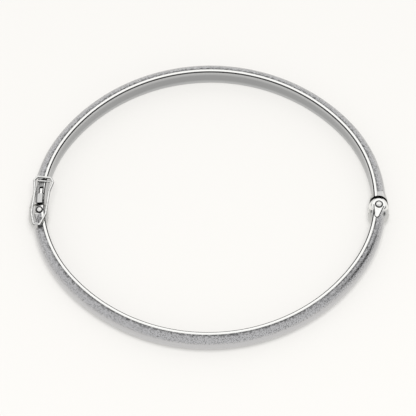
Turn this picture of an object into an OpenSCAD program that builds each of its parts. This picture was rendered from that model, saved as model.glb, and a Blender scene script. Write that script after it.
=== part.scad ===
// Oval hinged bangle with a tongue clasp and a wire safety loop.
// The bangle lies flat: the wrist goes through along Z, the hinge is at +X, the clasp at -X
// and the front half at -Y. The origin is the middle of the opening, on the surface below.

/* [Opening] */
// Inside width, from clasp to hinge
opening_w = 60; // [58:0.5:68]
// Inside depth, from front to back
opening_d = 53.4; // [50:0.2:57]
// Radius of the inside face at the clasp and hinge ends
end_r = 23.3; // [21:0.1:24.4]

/* [Band] */
// Width of the band along the wrist
band_w = 4; // [3.8:0.1:5]
// Thickness of the band at the crown of its half-round face
band_t = 2.3; // [2.1:0.05:2.5]
// Width of the flat polished rim beside the half-round face
rim_w = 0.6; // [0.5:0.05:0.8]
// Bevel on the two inside edges
rim_bevel = 0.2; // [0.1:0.05:0.3]

/* [Hinge] */
// Distance of the hinge pin in front of the long axis
pin_front = 2.9; // [1:0.1:4]
// Distance of the hinge pin inside the middle of the band
pin_in = 0.22; // [0:0.02:0.3]
// Radius of the hinge pin
pin_r = 0.45; // [0.35:0.05:0.5]
// Running gap of the hinge pin in its bore
pin_fit = 0.04; // [0.02:0.01:0.08]
// Radius of the pin's riveted heads
pin_head_r = 0.62; // [0.58:0.02:0.8]
// Height of the pin's upper head above the rim
pin_head_h = 0.22; // [0.1:0.02:0.4]
// Radius of the knuckles at the rims
knuckle_r = 1.35; // [1.25:0.05:1.5]
// How much the knuckles swell halfway up
knuckle_swell = 0.5; // [0.3:0.05:0.6]
// Height of each ear of the front half
ear_h = 1.25; // [1:0.05:1.4]
// Running gap between knuckles along the pin
knuckle_gap = 0.08; // [0.05:0.01:0.15]
// Gap between the round knuckles and the ends that face them
hinge_gap = 0.42; // [0.3:0.02:0.5]
// How far the swelling in front of the hinge stays below the rims
hinge_swell_under = 0.05; // [0.02:0.01:0.2]
// Distance of that swelling inside the middle of the band
hinge_swell_in = 0.2; // [0:0.05:0.3]
// Length of the swelling behind its widest place
hinge_swell_back = 5.4; // [4.5:0.1:6]
// Length of the swelling in front of its widest place
hinge_swell_front = 2; // [1.6:0.1:3]
// Distance of its widest place in front of the hinge pin
hinge_swell_at = 1.1; // [0.5:0.1:1.5]
// Length of the ear's tapering tail, from the pin
ear_tail = 2.6; // [1.8:0.1:3]
// Radius of the end of that tail
ear_tail_r = 0.32; // [0.2:0.02:0.5]
// Half width of that tail beside the pin
ear_tail_root = 0.85; // [0.7:0.05:1.1]
// Lean of that tail towards the inside face, in degrees from the band
ear_tail_lean = 5; // [0:1:10]
// Length of the square end plate beside the hinge
end_plate = 1.4; // [1:0.1:2]

/* [Clasp] */
// Gap between the two halves at the clasp
clasp_gap = 0.4; // [0.2:0.05:0.5]
// Distance of that gap behind the long axis
clasp_back = 0.3; // [0:0.1:1]
// Thickness of the square ends that hold the tongue
block_t = 1.7; // [1.5:0.05:1.8]
// Distance of the square ends from the inside face
block_in = 0.08; // [0.05:0.01:0.2]
// Length of the back half's square end
box_len = 5; // [4.8:0.1:6]
// Length of the front half's square end
plate_len = 1.7; // [1.5:0.1:2.5]
// How far the swelling round the clasp stays below the rims
clasp_swell_under = 0.2; // [0.1:0.02:0.4]
// Length of the swelling behind its widest place
clasp_swell_back = 5.6; // [5:0.1:6]
// Length of the swelling in front of its widest place
clasp_swell_front = 2; // [1.6:0.1:3]
// Distance of its widest place in front of the gap
clasp_swell_at = 1.5; // [1:0.1:2]

/* [Tongue] */
// Distance of the tongue inside the middle of the band
tongue_in = 0.3; // [0.2:0.02:0.36]
// Width of the folded spring strip
tongue_w = 0.9; // [0.7:0.02:1]
// Thickness of the folded spring strip
tongue_t = 0.3; // [0.2:0.02:0.35]
// Height of the middle of the lower leaf
leaf_z = 2.05; // [1.8:0.05:2.1]
// Reach of the fold into the box, from the gap
tongue_reach = 3.95; // [3.6:0.05:4.1]
// Width of the narrow neck of the upper leaf
neck_w = 0.42; // [0.3:0.02:0.5]
// Distance of that neck from the strip's outer edge
neck_out = 0.14; // [0.06:0.02:0.2]
// Length of the thumb block
thumb_len = 1.85; // [1.4:0.05:2]
// Height of the thumb block above the rim
thumb_up = 0.12; // [0.05:0.01:0.14]
// Free space round the tongue in its box
box_gap = 0.12; // [0.08:0.01:0.15]
// Thickness of the box's roof, which the two slots go through
roof_t = 0.7; // [0.6:0.05:0.8]
// Extra width of the thumb slot on its inner side
slot_in = 0.1; // [0:0.02:0.15]
// Gap between the thumb block and the narrow slot
slot_end_gap = 0.12; // [0.08:0.01:0.2]
// Length of the strip's root inside the front half
root_len = 1.35; // [1.2:0.05:1.45]
// Small gap between pieces that are joined by the rivet
seat_gap = 0.03; // [0.02:0.01:0.05]
// Radius of the tongue's rivet
rivet_r = 0.26; // [0.2:0.02:0.3]
// Radius of the rivet's domed head
rivet_head_r = 0.56; // [0.45:0.02:0.6]
// Height of the rivet's domed head
rivet_head_h = 0.26; // [0.15:0.02:0.4]
// Distance of the rivet from the gap
rivet_at = 0.92; // [0.8:0.02:1]

/* [Safety loop] */
// Diameter of the loop's wire
wire_d = 0.42; // [0.36:0.02:0.46]
// Length of the loop between the middles of its end bars
loop_len = 9.7; // [9.4:0.1:10.4]
// Lean of the loop from the front-to-back line, in degrees
loop_lean = 9.3; // [7:0.1:11]
// Half width of the loop at its pivot, to the middle of the wire
loop_tip = 0.56; // [0.52:0.02:0.7]
// Half width of the loop's straight sides
loop_side = 1.3; // [1.25:0.01:1.4]
// Half width of the loop's head
loop_head = 1.74; // [1.6:0.02:1.9]
// Half length of the straight bar that closes the head
loop_bar = 1.23; // [1.1:0.01:1.3]
// Length of the taper next to the pivot
loop_taper = 2.2; // [1.8:0.1:2.6]
// Distance from the pivot to the neck
loop_neck = 6.9; // [6.5:0.1:7.4]
// Distance from the pivot to the widest place of the head
loop_wide = 8.9; // [8.6:0.1:9.2]
// Distance of the pivot in front of the clasp gap
pivot_front = 4.06; // [3.8:0.02:4.4]
// Distance of the pivot outside the middle of the band
pivot_out = 0.6; // [0.5:0.02:0.7]
// Thickness of the lug that holds the pivot
lug_w = 0.5; // [0.4:0.02:0.52]
// Wall of the lug round its hole
lug_wall = 0.16; // [0.14:0.01:0.2]
// Running gap of the wire in the lug
pivot_gap = 0.05; // [0.03:0.01:0.08]
// Height of the low bar that the loop's head closes behind
catch_up = 0.12; // [0.08:0.01:0.14]
// Half length of that bar
catch_half = 1.1; // [0.9:0.05:1.2]
// Distance of that bar inside the loop's end bar
catch_at = 0.55; // [0.45:0.01:0.65]
// Gap between the loop and what it passes over
loop_gap = 0.05; // [0.04:0.01:0.1]

/* [Hidden] */
$fn = 96;
// What a cut reaches past the surface that it opens
past = 0.5;
// Space that holds the whole bangle
far = opening_w;
// Where two swept pieces join, one runs on inside the other, a skin below its surface
skin = 0.01;
// Angle that a side arc runs on inside an end arc
lap_a = 1;
// Length that a straight wire runs on inside a bend
wire_lap = 3 * skin;
// The opening is an oval of four arcs: two at the ends and two at the sides
half_d = opening_d / 2;
end_x = opening_w / 2 - end_r;
side_r = (end_x ^ 2 + half_d ^ 2 - end_r ^ 2) / (2 * (half_d - end_r));
side_y = side_r - half_d;
join_a = atan2(side_y, end_x);
// The half-round face is an arc through the rim's edges and the crown
crown_h = band_t - rim_w;
dome_r = (crown_h ^ 2 + (band_w / 2) ^ 2) / (2 * crown_h);
dome_x = band_t - dome_r;
mid_z = band_w / 2;
mid_r = end_r + band_t / 2;
hinge_swell_r = mid_z - hinge_swell_under;
clasp_swell_r = mid_z - clasp_swell_under;
// Distance from the centre to the middle of the band's end arc, at a depth of y
function band_mid(y) = end_x + sqrt(mid_r ^ 2 - y ^ 2);
// Direction from the end arc's centre to a place at a depth of y, in degrees from X
function band_lean(y) = asin(y / mid_r);
pin_y = -pin_front;
pin_x = band_mid(pin_y) - pin_in;
// Radius of a knuckle at the height z
swell_r = (mid_z ^ 2 + knuckle_swell ^ 2) / (2 * knuckle_swell);
ear_top_z = band_w - ear_h;
// The two faces of the clasp gap
gap_back_y = clasp_back + clasp_gap / 2;
gap_front_y = clasp_back - clasp_gap / 2;
// The tongue swings out of its box on an arc round the hinge pin
tongue_x = -band_mid(clasp_back) + tongue_in;
tongue_arc = norm([pin_x - tongue_x, clasp_back - pin_y]);
fold_y = gap_back_y + tongue_reach;
leaf_low = leaf_z - tongue_t / 2;
fold_gap = tongue_t / 3;
fold_r = tongue_t + fold_gap / 2;
thumb_front_y = gap_back_y + box_gap;
thumb_back_y = thumb_front_y + thumb_len;
thumb_top = band_w + thumb_up;
thumb_low = thumb_top - roof_t - 2 * tongue_t;
box_low = leaf_low - box_gap;
box_high = band_w - roof_t;
box_end_y = fold_y + fold_r + 2 * box_gap;
block_back_y = gap_back_y + box_len;
block_front_y = gap_front_y - plate_len;
rivet_y = gap_front_y - rivet_at;
rivet_x = pin_x - sqrt(tongue_arc ^ 2 - (rivet_y - pin_y) ^ 2);
// The loop lies flat above the rim, clear of the catch bar
wire_r = wire_d / 2;
loop_z = band_w + catch_up + loop_gap + wire_r;
pivot_y = gap_front_y - pivot_front;
pivot_x = -band_mid(pivot_y) - pivot_out;
lug_r = wire_r + pivot_gap + lug_wall;
bend_r = wire_d;

// Section of the band, shrunk by inset: the inside face near the Y axis, the half-round face
// towards +X
module band_section(inset) {
    difference() {
        union() {
            translate([inset, inset]) square([rim_w, band_w - 2 * inset]);
            intersection() {
                translate([dome_x, mid_z]) circle(r = dome_r - inset);
                translate([rim_w / 2, inset]) square([band_t, band_w - 2 * inset]);
            }
        }
        for (z = [0, band_w])
            translate([0, z]) rotate(45) square((rim_bevel + inset) * sqrt(2), center = true);
    }
}

// One arc of the oval, swept from a start angle round its own centre
module oval_arc(centre, radius, start, sweep) {
    translate(centre) rotate(start) rotate_extrude(angle = sweep) translate([radius, 0]) children();
}

// The whole oval band, as four arcs that meet on common tangents
module oval_band() {
    oval_arc([end_x, 0], end_r, -join_a, 2 * join_a) band_section(0);
    oval_arc([-end_x, 0], end_r, 180 - join_a, 2 * join_a) band_section(0);
    side_a = join_a - lap_a;
    oval_arc([0, -side_y], side_r, side_a, 180 - 2 * side_a) band_section(skin);
    oval_arc([0, side_y], side_r, 180 + side_a, 180 - 2 * side_a) band_section(skin);
}

// Square end of the band on one side (1 hinge, -1 clasp), between two depths
module end_block(side, from_y, to_y) {
    a = band_lean(from_y);
    b = band_lean(to_y);
    mirror([side < 0 ? 1 : 0, 0]) oval_arc([end_x, 0], end_r + block_in, a, b - a)
        square([block_t, band_w]);
}

// Olive-shaped swelling with its axis along Y and its widest place at the origin
module olive(radius, back, front) {
    hidden_r = band_t / 3;
    drop = radius - hidden_r;
    back_arc = (back ^ 2 + drop ^ 2) / (2 * drop);
    front_arc = (front ^ 2 + drop ^ 2) / (2 * drop);
    rotate([-90, 0, 0]) rotate_extrude() union() {
        intersection() {
            translate([radius - back_arc, 0]) circle(r = back_arc);
            square([radius, back]);
        }
        intersection() {
            translate([radius - front_arc, 0]) circle(r = front_arc);
            translate([0, -front]) square([radius, front]);
        }
    }
}

// An olive laid along the band on one side, tangent to it at half its length
module band_swelling(side, widest_y, inset, radius, back, front) {
    half_y = widest_y + (back - front) / 2;
    lean = band_lean(half_y);
    mirror([side < 0 ? 1 : 0, 0]) translate([end_x, 0, mid_z]) rotate(lean)
        translate([mid_r - inset, -(back - front) / 2, 0]) olive(radius, back, front);
}

// Space of one half at one end: sign 1 keeps what lies behind the depth y, -1 what lies before it
module end_space(side, sign, y) {
    translate([side < 0 ? -far : 0, sign < 0 ? y - far : y, -past]) cube([far, far, band_w + 2 * past]);
}

// Solid of revolution round the hinge pin, swelling halfway up
module knuckle(grow, low, high) {
    translate([pin_x, pin_y]) rotate_extrude() intersection() {
        translate([knuckle_r + knuckle_swell - swell_r + grow, mid_z]) circle(r = swell_r);
        translate([0, low]) square([knuckle_r + knuckle_swell + grow, high - low]);
    }
}

// Upright bore on the hinge axis
module pin_bore() {
    translate([pin_x, pin_y, -past]) cylinder(r = pin_r + pin_fit, h = band_w + 2 * past);
}

// Ring round the hinge pin that holds the tongue, between two distances from its middle line
module tongue_ring(inner, outer, low, high) {
    translate([pin_x, pin_y, low]) difference() {
        cylinder(r = tongue_arc + outer, h = high - low);
        translate([0, 0, -past]) cylinder(r = tongue_arc + inner, h = high - low + 2 * past);
    }
}

// Part of such a ring at the clasp, between two depths
module tongue_stretch(inner, outer, from_y, to_y, low, high) {
    intersection() {
        tongue_ring(inner, outer, low, high);
        translate([tongue_x - band_w, from_y, low - past])
            cube([2 * band_w, to_y - from_y, high - low + 2 * past]);
    }
}

// Hollow of the box: the chamber, the wide slot for the thumb block and the narrow slot behind it
module tongue_box() {
    side = tongue_w / 2 + box_gap;
    slot_step_y = thumb_back_y + slot_end_gap;
    tongue_stretch(-side, side, gap_back_y - past, box_end_y, box_low, box_high);
    tongue_stretch(-side - slot_in, side, gap_back_y - past, slot_step_y, box_high - tongue_t, band_w + past);
    tongue_stretch(-side, side - 2 * slot_in, gap_back_y, box_end_y - box_gap, box_high - tongue_t,
                   band_w + past);
}

// Low bar across the back half's square end, which the loop's head closes behind
module catch_bar() {
    bar_r = catch_up + box_gap / 2;
    intersection() {
        translate([pivot_x, pivot_y, band_w + catch_up - bar_r]) rotate(-loop_lean)
            translate([-catch_half, loop_len - catch_at, 0]) rotate([0, 90, 0])
                cylinder(r = bar_r, h = 2 * catch_half);
        translate([-far, 0, 0]) cube([far, far, band_w + catch_up]);
    }
}

module back_half() {
    color("silver") difference() {
        union() {
            difference() {
                intersection() {
                    union() {
                        oval_band();
                        end_block(-1, clasp_back, block_back_y);
                        end_block(1, pin_y, pin_y + knuckle_r + end_plate);
                        band_swelling(-1, gap_front_y - clasp_swell_at, 0, clasp_swell_r,
                                      clasp_swell_back, clasp_swell_front);
                        band_swelling(1, pin_y - hinge_swell_at, hinge_swell_in, hinge_swell_r,
                                      hinge_swell_back, hinge_swell_front);
                    }
                    union() {
                        end_space(-1, 1, gap_back_y);
                        end_space(1, 1, pin_y);
                    }
                }
                knuckle(hinge_gap, -past, ear_h + knuckle_gap);
                knuckle(hinge_gap, ear_top_z - knuckle_gap, band_w + past);
            }
            knuckle(0, ear_h + knuckle_gap, ear_top_z - knuckle_gap);
            catch_bar();
        }
        pin_bore();
        tongue_box();
    }
}

// Flat plate of the upper or lower ear, with its tail along the band
module ear_plate(low, high) {
    reach = ear_tail - ear_tail_r;
    lean = band_lean(pin_y - reach / 2) - ear_tail_lean;
    side_a = asin((ear_tail_root - ear_tail_r) / reach);
    root = ear_tail_root * [cos(side_a), -sin(side_a)];
    tip = ear_tail_r * [cos(side_a), -sin(side_a)] - [0, reach];
    translate([pin_x, pin_y, low]) rotate(lean) linear_extrude(high - low) union() {
        translate([0, -reach]) circle(r = ear_tail_r + skin);
        polygon([[0, 0], root, tip, [0, -reach], [-tip[0], tip[1]], [-root[0], root[1]]]);
    }
}

// Lug on the front half that the loop turns in
module loop_lug() {
    difference() {
        union() {
            translate([-lug_w / 2, 0, 0]) rotate([0, 90, 0]) cylinder(r = lug_r, h = lug_w);
            translate([-lug_w / 2, -lug_r, mid_z - loop_z]) cube([lug_w, 2 * lug_r, loop_z - mid_z]);
        }
        translate([-lug_w, 0, 0]) rotate([0, 90, 0]) cylinder(r = wire_r + pivot_gap, h = 2 * lug_w);
    }
}

// Upright hole for the tongue's rivet, with a countersink at the lower rim
module rivet_hole() {
    translate([rivet_x, rivet_y, -past]) cylinder(r = rivet_r + seat_gap, h = band_w + 2 * past);
    translate([rivet_x, rivet_y, -past])
        cylinder(r1 = rivet_head_r + past, r2 = rivet_r, h = past + rivet_head_r - rivet_r);
}

module front_half() {
    side = tongue_w / 2 + seat_gap;
    color("silver") difference() {
        union() {
            difference() {
                intersection() {
                    union() {
                        oval_band();
                        end_block(-1, block_front_y, clasp_back);
                        band_swelling(-1, gap_front_y - clasp_swell_at, 0, clasp_swell_r,
                                      clasp_swell_back, clasp_swell_front);
                        band_swelling(1, pin_y - hinge_swell_at, hinge_swell_in, hinge_swell_r,
                                      hinge_swell_back, hinge_swell_front);
                        ear_plate(0, band_w);
                    }
                    union() {
                        end_space(-1, -1, gap_front_y);
                        end_space(1, -1, pin_y);
                    }
                }
                knuckle(hinge_gap, ear_h, ear_top_z);
            }
            knuckle(0, 0, ear_h);
            knuckle(0, ear_top_z, band_w);
            translate([pivot_x, pivot_y, loop_z]) rotate(-loop_lean) loop_lug();
        }
        pin_bore();
        tongue_stretch(-side, side, gap_front_y - root_len - seat_gap, gap_front_y + past,
                       leaf_low - seat_gap, leaf_low + tongue_t + seat_gap);
        rivet_hole();
    }
}

// Domed head that stands on the plane z = 0
module domed_head(radius, height) {
    ball_r = (radius ^ 2 + height ^ 2) / (2 * height);
    intersection() {
        translate([0, 0, height - ball_r]) sphere(r = ball_r);
        cylinder(r = 2 * radius, h = 2 * height);
    }
}

module hinge_pin() {
    color("whitesmoke") translate([pin_x, pin_y]) {
        translate([0, 0, pin_fit]) cylinder(r = pin_r, h = band_w);
        translate([0, 0, band_w + pin_fit / 2]) domed_head(pin_head_r, pin_head_h);
    }
}

// Side view of the folded strip, drawn in depth and height
module tongue_profile() {
    fold_z = leaf_low + fold_r;
    upper_low = fold_z + fold_gap / 2;
    translate([gap_front_y - root_len, leaf_low]) square([fold_y - gap_front_y + root_len, tongue_t]);
    difference() {
        translate([fold_y, fold_z]) circle(r = fold_r);
        translate([fold_y, fold_z]) circle(r = fold_gap / 2);
        translate([fold_y - 2 * fold_r, fold_z - 2 * fold_r]) square([2 * fold_r, 4 * fold_r]);
    }
    polygon([
        [fold_y, upper_low],
        [fold_y, upper_low + tongue_t],
        [thumb_back_y - tongue_t, thumb_low + tongue_t],
        [thumb_back_y - tongue_t, thumb_low],
    ]);
    translate([thumb_front_y, thumb_low]) square([thumb_len, thumb_top - thumb_low]);
}

module tongue() {
    side = tongue_w / 2;
    neck_low = leaf_low + tongue_t + fold_gap / 2;
    color("gainsboro") difference() {
        intersection() {
            tongue_ring(-side, side, 0, thumb_top);
            translate([tongue_x - band_w, 0, 0]) rotate([90, 0, 90])
                linear_extrude(2 * band_w) tongue_profile();
        }
        for (beside = [[-side - past, -side + neck_out], [-side + neck_out + neck_w, side + past]])
            tongue_stretch(beside[0], beside[1], thumb_back_y, fold_y - fold_r, neck_low, band_w + past);
        translate([rivet_x, rivet_y, 0]) cylinder(r = rivet_r + seat_gap, h = band_w);
    }
}

module tongue_rivet() {
    color("whitesmoke") translate([rivet_x, rivet_y]) {
        translate([0, 0, seat_gap]) cylinder(r = rivet_r, h = band_w);
        translate([0, 0, seat_gap])
            cylinder(r1 = rivet_head_r - 2 * seat_gap, r2 = rivet_r, h = rivet_head_r - rivet_r - 2 * seat_gap);
        translate([0, 0, band_w + seat_gap]) domed_head(rivet_head_r, rivet_head_h);
    }
}

// Direction of travel from one point to the next, in degrees
function heading(p, q) = atan2(q[1] - p[1], q[0] - p[0]);
// Turn between two directions, from -180 to 180 degrees
function turn(a, b) = let(d = b - a) d > 180 ? d - 360 : d < -180 ? d + 360 : d;

// Round wire along a closed path of points, each rounded by a bend of its own radius
module wire_path(points, bends) {
    n = len(points);
    into = [for (i = [0 : n - 1]) heading(points[(i + n - 1) % n], points[i])];
    out = [for (i = [0 : n - 1]) heading(points[i], points[(i + 1) % n])];
    bend = [for (i = [0 : n - 1]) turn(into[i], out[i])];
    cut = [for (i = [0 : n - 1]) bends[i] * tan(abs(bend[i]) / 2)];
    for (i = [0 : n - 1]) {
        j = (i + 1) % n;
        reach = norm(points[j] - points[i]) - cut[i] - cut[j];
        translate(points[i]) rotate(out[i]) translate([cut[i] - wire_lap, 0, 0]) rotate([0, 90, 0])
            cylinder(r = wire_r - skin, h = reach + 2 * wire_lap);
        side = bend[i] > 0 ? 1 : -1;
        translate(points[i]) rotate(into[i]) translate([-cut[i], side * bends[i], 0])
            rotate(side > 0 ? -90 : 90 + bend[i]) rotate_extrude(angle = abs(bend[i]))
                translate([bends[i], 0]) circle(r = wire_r);
    }
}

module safety_loop() {
    half = [
        [loop_tip, 0],
        [loop_side, loop_taper],
        [loop_side, loop_neck],
        [loop_head, loop_wide],
        [loop_bar, loop_len],
    ];
    half_bends = [0.6 * bend_r, 4 * bend_r, 4 * bend_r, 1.5 * bend_r, bend_r];
    last = len(half) - 1;
    points = concat(half, [for (i = [last : -1 : 0]) [-half[i][0], half[i][1]]]);
    bends = concat(half_bends, [for (i = [last : -1 : 0]) half_bends[i]]);
    color("white") translate([pivot_x, pivot_y, loop_z]) rotate(-loop_lean) wire_path(points, bends);
}

back_half();
front_half();
hinge_pin();
tongue();
tongue_rivet();
safety_loop();
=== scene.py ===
"""Oval hinged bangle in sterling silver: satin half-round band, polished fittings, small studio.

The bangle lies flat with the wrist's axis along Z, the hinge at +X and the clasp at -X. Its pieces
are shaped in millimetres and brought to metres as they are finished.
"""

import math

import bmesh
import bpy
from bpy.props import FloatProperty, FloatVectorProperty, IntProperty, PointerProperty
from mathutils import Matrix, Vector


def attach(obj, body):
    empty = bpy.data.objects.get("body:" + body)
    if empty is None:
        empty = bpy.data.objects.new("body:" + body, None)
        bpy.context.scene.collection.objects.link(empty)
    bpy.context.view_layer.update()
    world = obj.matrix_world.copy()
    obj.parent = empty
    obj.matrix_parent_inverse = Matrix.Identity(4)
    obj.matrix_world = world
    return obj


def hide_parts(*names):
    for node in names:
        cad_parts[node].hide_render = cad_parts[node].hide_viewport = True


bl_info = {
    "name": "Hinged Bangle",
    "version": (1, 0, 0),
    "blender": (4, 5, 0),
    "location": "3D View > Sidebar > Bangle",
    "description": "Builds an oval hinged bangle with its clasp, safety loop and studio",
    "category": "Object",
}

MM = 0.001
PAST = 0.5  # how far a cutter reaches past what it cuts, in mm
WELD = 0.002  # distance at which the band's strips are joined, in mm
ON_AXIS = 1e-6  # radius below which a turned profile meets its axis, in mm
# Facets round a swelling, a riveted head, a hole and a thin rod
FINE, ROUND, HOLE, ROD = 128, 96, 64, 48
# Finishes of a piece, in the order of its material slots
FINISHES = ("satin", "polished", "worn", "inside", "fitted", "ground", "inner")
POLISHED, WORN, INSIDE, FITTED, GROUND = range(1, 6)
SMOOTH = {"interpolation_type": "SMOOTHSTEP"}
# Turns a slab's outline so that its second axis stands up and its first runs along Y
UPRIGHT = Matrix(((0, 0, 1, 0), (1, 0, 0, 0), (0, 1, 0, 0), (0, 0, 0, 1)))

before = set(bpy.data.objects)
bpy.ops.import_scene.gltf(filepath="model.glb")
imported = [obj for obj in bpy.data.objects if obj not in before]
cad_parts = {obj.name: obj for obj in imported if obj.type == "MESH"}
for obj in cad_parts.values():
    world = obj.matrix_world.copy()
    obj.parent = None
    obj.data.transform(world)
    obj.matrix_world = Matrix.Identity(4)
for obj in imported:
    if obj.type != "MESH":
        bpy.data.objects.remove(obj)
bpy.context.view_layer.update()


def length(name, text, value, low, high):
    """A length in millimetres that the user can set."""
    return FloatProperty(
        name=name, description=text, default=value * MM, min=low * MM, max=high * MM,
        unit="LENGTH", subtype="DISTANCE", precision=5)


def srgb(code):
    """Linear colour of an sRGB hex code."""
    values = [int(code[i:i + 2], 16) / 255 for i in (1, 3, 5)]
    return [v / 12.92 if v <= 0.04045 else ((v + 0.055) / 1.055) ** 2.4 for v in values]


def tint(name, text, code):
    """A colour that the user can set, given as a hex code."""
    return FloatVectorProperty(
        name=name, description=text, default=srgb(code), min=0, max=1, size=3, subtype="COLOR")


class BandSizes(bpy.types.PropertyGroup):
    """Sizes of the oval and of its half-round band."""

    opening_w: length("Opening width", "Inside width, from clasp to hinge", 60, 50, 70)
    opening_d: length("Opening depth", "Inside depth, from front to back", 53.4, 45, 60)
    end_r: length("End radius", "Radius of the inside face at the clasp and hinge ends", 23.3, 18, 26)
    band_w: length("Band width", "Width of the band along the wrist", 4, 3, 8)
    band_t: length("Band thickness", "Thickness at the crown of the half-round face", 2.3, 1.5, 4)
    rim_w: length("Rim width", "Width of the flat polished rim", 0.6, 0.3, 1)
    rim_bevel: length("Rim bevel", "Bevel on the two inside edges", 0.2, 0.05, 0.4)
    crown_steps: IntProperty(
        name="Crown steps", description="Facets across the half-round face", default=40, min=8, max=96)
    stations: IntProperty(
        name="Stations", description="Sections round each arc of the oval", default=170, min=24, max=400)


class HingeSizes(bpy.types.PropertyGroup):
    """Sizes of the pin hinge."""

    pin_front: length("Pin in front", "Distance of the pin in front of the long axis", 2.9, 0, 5)
    pin_in: length("Pin inside", "Distance of the pin inside the middle of the band", 0.22, 0, 0.5)
    pin_r: length("Pin radius", "Radius of the hinge pin", 0.45, 0.3, 0.7)
    pin_fit: length("Pin fit", "Running gap of the pin in its bore", 0.04, 0.01, 0.1)
    pin_head_r: length("Head radius", "Radius of the pin's riveted head", 0.62, 0.5, 1)
    pin_head_h: length("Head height", "Height of the pin's head above the rim", 0.22, 0.1, 0.5)
    knuckle_r: length("Knuckle radius", "Radius of the knuckles at the rims", 1.35, 1, 2)
    knuckle_swell: length("Knuckle swell", "How much the knuckles swell halfway up", 0.5, 0.1, 0.8)
    ear_h: length("Ear height", "Height of each ear of the front half", 1.25, 0.8, 1.6)
    knuckle_gap: length("Knuckle gap", "Gap between knuckles along the pin", 0.08, 0.02, 0.2)
    hinge_gap: length("Hinge gap", "Gap between knuckles and the ends that face them", 0.42, 0.1, 0.6)
    hinge_swell_under: length("Swelling under", "How far the swelling stays below the rims", 0.05, 0, 0.4)
    hinge_swell_in: length("Swelling inside", "Distance inside the middle of the band", 0.2, 0, 0.5)
    hinge_swell_back: length("Swelling back", "Length behind its widest place", 5.4, 3, 8)
    hinge_swell_front: length("Swelling front", "Length in front of its widest place", 2, 1, 4)
    hinge_swell_at: length("Swelling at", "Distance of its widest place in front of the pin", 1.1, 0, 2)
    ear_tail: length("Ear tail", "Length of the ear's tapering tail, from the pin", 2.6, 1.5, 4)
    ear_tail_r: length("Tail radius", "Radius of the end of that tail", 0.32, 0.2, 0.8)
    tail_root: length("Tail root", "Half width of that tail beside the pin", 0.85, 0.5, 1.3)
    tail_lean: FloatProperty(
        name="Tail lean", description="Lean of that tail towards the inside face",
        default=math.radians(5), min=0, max=0.3, subtype="ANGLE", unit="ROTATION")
    end_plate: length("End plate", "Length of the square end beside the hinge", 1.4, 0.5, 3)


class ClaspSizes(bpy.types.PropertyGroup):
    """Sizes of the clasp's two ends and of the swelling round them."""

    clasp_gap: length("Clasp gap", "Gap between the two halves", 0.4, 0.1, 1)
    clasp_back: length("Gap behind", "Distance of the gap behind the long axis", 0.3, 0, 1)
    block_t: length("Block thickness", "Thickness of the square ends", 1.7, 1, 2.5)
    block_in: length("Block inside", "Distance of the square ends from the inside face", 0.08, 0, 0.3)
    box_len: length("Box length", "Length of the back half's square end", 5, 3, 8)
    plate_len: length("Plate length", "Length of the front half's square end", 1.7, 1, 3)
    clasp_swell_under: length("Swelling under", "How far the swelling stays below the rims", 0.2, 0, 0.6)
    clasp_swell_back: length("Swelling back", "Length behind its widest place", 5.6, 3, 8)
    clasp_swell_front: length("Swelling front", "Length in front of its widest place", 2, 1, 4)
    clasp_swell_at: length("Swelling at", "Distance of its widest place in front of the gap", 1.5, 0, 3)


class TongueSizes(bpy.types.PropertyGroup):
    """Sizes of the folded tongue, of its box and of its rivet."""

    tongue_in: length("Tongue inside", "Distance inside the middle of the band", 0.3, 0, 0.6)
    strip_w: length("Strip width", "Width of the folded strip", 0.9, 0.5, 1.4)
    strip_t: length("Strip thickness", "Thickness of the folded strip", 0.3, 0.1, 0.5)
    leaf_z: length("Leaf height", "Height of the middle of the lower leaf", 2.05, 1.5, 2.5)
    tongue_reach: length("Reach", "Reach of the fold into the box, from the gap", 3.95, 2, 5)
    neck_w: length("Neck width", "Width of the narrow neck of the upper leaf", 0.42, 0.2, 0.8)
    neck_out: length("Neck outside", "Distance of the neck from the strip's outer edge", 0.14, 0.05, 0.4)
    thumb_len: length("Thumb block", "Length of the thumb block", 1.85, 1, 3)
    thumb_up: length("Thumb height", "Height of the thumb block above the rim", 0.12, 0, 0.5)
    box_gap: length("Box gap", "Free space round the tongue in its box", 0.12, 0.05, 0.3)
    roof_t: length("Roof", "Thickness of the box's roof", 0.7, 0.4, 1)
    slot_in: length("Slot inside", "Extra width of the thumb slot", 0.1, 0, 0.3)
    slot_end_gap: length("Slot end", "Gap between thumb block and narrow slot", 0.12, 0.05, 0.3)
    root_len: length("Root", "Length of the strip's root inside the front half", 1.35, 1, 2)
    seat_gap: length("Seat gap", "Gap between pieces joined by the rivet", 0.03, 0.01, 0.1)
    rivet_r: length("Rivet radius", "Radius of the tongue's rivet", 0.26, 0.1, 0.5)
    rivet_head_r: length("Rivet head", "Radius of its domed head", 0.56, 0.3, 0.9)
    rivet_head_h: length("Rivet head height", "Height of its domed head", 0.26, 0.1, 0.5)
    rivet_at: length("Rivet at", "Distance of the rivet from the gap", 0.92, 0.5, 1.5)


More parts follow.
